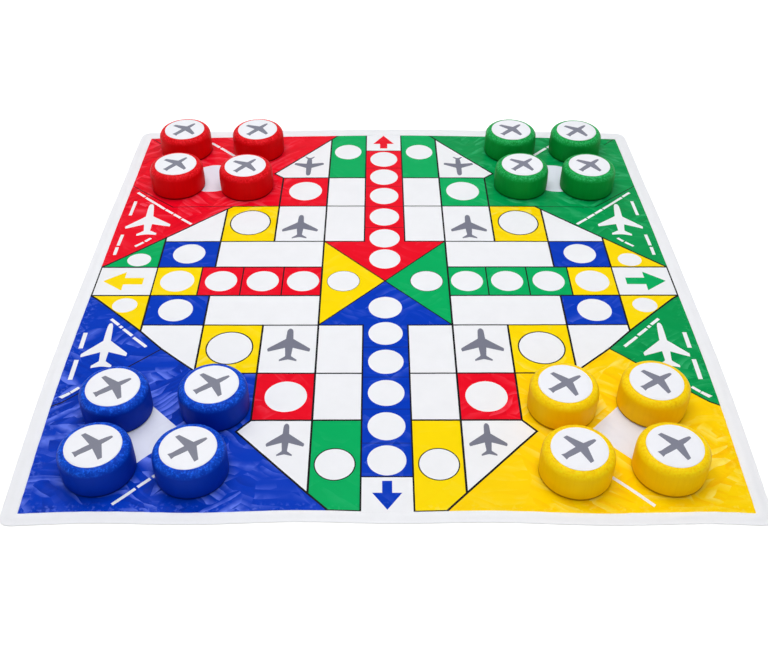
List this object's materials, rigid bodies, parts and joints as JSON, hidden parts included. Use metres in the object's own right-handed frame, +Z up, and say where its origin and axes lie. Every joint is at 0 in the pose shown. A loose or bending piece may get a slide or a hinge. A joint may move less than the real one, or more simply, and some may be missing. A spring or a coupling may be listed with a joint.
{
  "type": "aeroplane chess floor mat",
  "caption": "Square printed fabric floor mat for the aeroplane race game, bound along its edges, with round foam playing pieces standing in the corner hangars.",
  "frame": {"origin": "middle of the mat on the floor", "axes": "+X to the right along the near edge, +Y to the far edge, +Z up from the floor"},
  "size_m": [1, 1, 0.0493],
  "materials": {
    "printed_fabric": "satin coated print",
    "backing_fabric": "matte",
    "binding_fabric": "satin",
    "red_foam": "matte foam",
    "green_foam": "matte foam",
    "blue_foam": "matte foam",
    "yellow_foam": "matte foam",
    "label_card": "satin"
  },
  "bodies": {
    "mat": {"printed_sheet": "printed_fabric", "backing_sheet": "backing_fabric", "binding_front": "binding_fabric", "binding_right": "binding_fabric", "binding_back": "binding_fabric", "binding_left": "binding_fabric"},
    "red_piece_1": {"red_token_1": "red_foam", "red_label_1": "label_card"},
    "red_piece_2": {"red_token_2": "red_foam", "red_label_2": "label_card"},
    "red_piece_3": {"red_token_3": "red_foam", "red_label_3": "label_card"},
    "red_piece_4": {"red_token_4": "red_foam", "red_label_4": "label_card"},
    "green_piece_1": {"green_token_1": "green_foam", "green_label_1": "label_card"},
    "green_piece_2": {"green_token_2": "green_foam", "green_label_2": "label_card"},
    "green_piece_3": {"green_token_3": "green_foam", "green_label_3": "label_card"},
    "green_piece_4": {"green_token_4": "green_foam", "green_label_4": "label_card"},
    "blue_piece_1": {"blue_token_1": "blue_foam", "blue_label_1": "label_card"},
    "blue_piece_2": {"blue_token_2": "blue_foam", "blue_label_2": "label_card"},
    "blue_piece_3": {"blue_token_3": "blue_foam", "blue_label_3": "label_card"},
    "blue_piece_4": {"blue_token_4": "blue_foam", "blue_label_4": "label_card"},
    "yellow_piece_1": {"yellow_token_1": "yellow_foam", "yellow_label_1": "label_card"},
    "yellow_piece_2": {"yellow_token_2": "yellow_foam", "yellow_label_2": "label_card"},
    "yellow_piece_3": {"yellow_token_3": "yellow_foam", "yellow_label_3": "label_card"},
    "yellow_piece_4": {"yellow_token_4": "yellow_foam", "yellow_label_4": "label_card"}
  },
  "joints": [
    {"name": "red_lift_1", "type": "slide", "parent": "mat", "child": "red_piece_1", "axis": [0, 0, 1], "range_m": [0, 0.06]},
    {"name": "red_lift_2", "type": "slide", "parent": "mat", "child": "red_piece_2", "axis": [0, 0, 1], "range_m": [0, 0.06]},
    {"name": "red_lift_3", "type": "slide", "parent": "mat", "child": "red_piece_3", "axis": [0, 0, 1], "range_m": [0, 0.06]},
    {"name": "red_lift_4", "type": "slide", "parent": "mat", "child": "red_piece_4", "axis": [0, 0, 1], "range_m": [0, 0.06]},
    {"name": "green_lift_1", "type": "slide", "parent": "mat", "child": "green_piece_1", "axis": [0, 0, 1], "range_m": [0, 0.06]},
    {"name": "green_lift_2", "type": "slide", "parent": "mat", "child": "green_piece_2", "axis": [0, 0, 1], "range_m": [0, 0.06]},
    {"name": "green_lift_3", "type": "slide", "parent": "mat", "child": "green_piece_3", "axis": [0, 0, 1], "range_m": [0, 0.06]},
    {"name": "green_lift_4", "type": "slide", "parent": "mat", "child": "green_piece_4", "axis": [0, 0, 1], "range_m": [0, 0.06]},
    {"name": "blue_lift_1", "type": "slide", "parent": "mat", "child": "blue_piece_1", "axis": [0, 0, 1], "range_m": [0, 0.06]},
    {"name": "blue_lift_2", "type": "slide", "parent": "mat", "child": "blue_piece_2", "axis": [0, 0, 1], "range_m": [0, 0.06]},
    {"name": "blue_lift_3", "type": "slide", "parent": "mat", "child": "blue_piece_3", "axis": [0, 0, 1], "range_m": [0, 0.06]},
    {"name": "blue_lift_4", "type": "slide", "parent": "mat", "child": "blue_piece_4", "axis": [0, 0, 1], "range_m": [0, 0.06]},
    {"name": "yellow_lift_1", "type": "slide", "parent": "mat", "child": "yellow_piece_1", "axis": [0, 0, 1], "range_m": [0, 0.06]},
    {"name": "yellow_lift_2", "type": "slide", "parent": "mat", "child": "yellow_piece_2", "axis": [0, 0, 1], "range_m": [0, 0.06]},
    {"name": "yellow_lift_3", "type": "slide", "parent": "mat", "child": "yellow_piece_3", "axis": [0, 0, 1], "range_m": [0, 0.06]},
    {"name": "yellow_lift_4", "type": "slide", "parent": "mat", "child": "yellow_piece_4", "axis": [0, 0, 1], "range_m": [0, 0.06]}
  ]
}
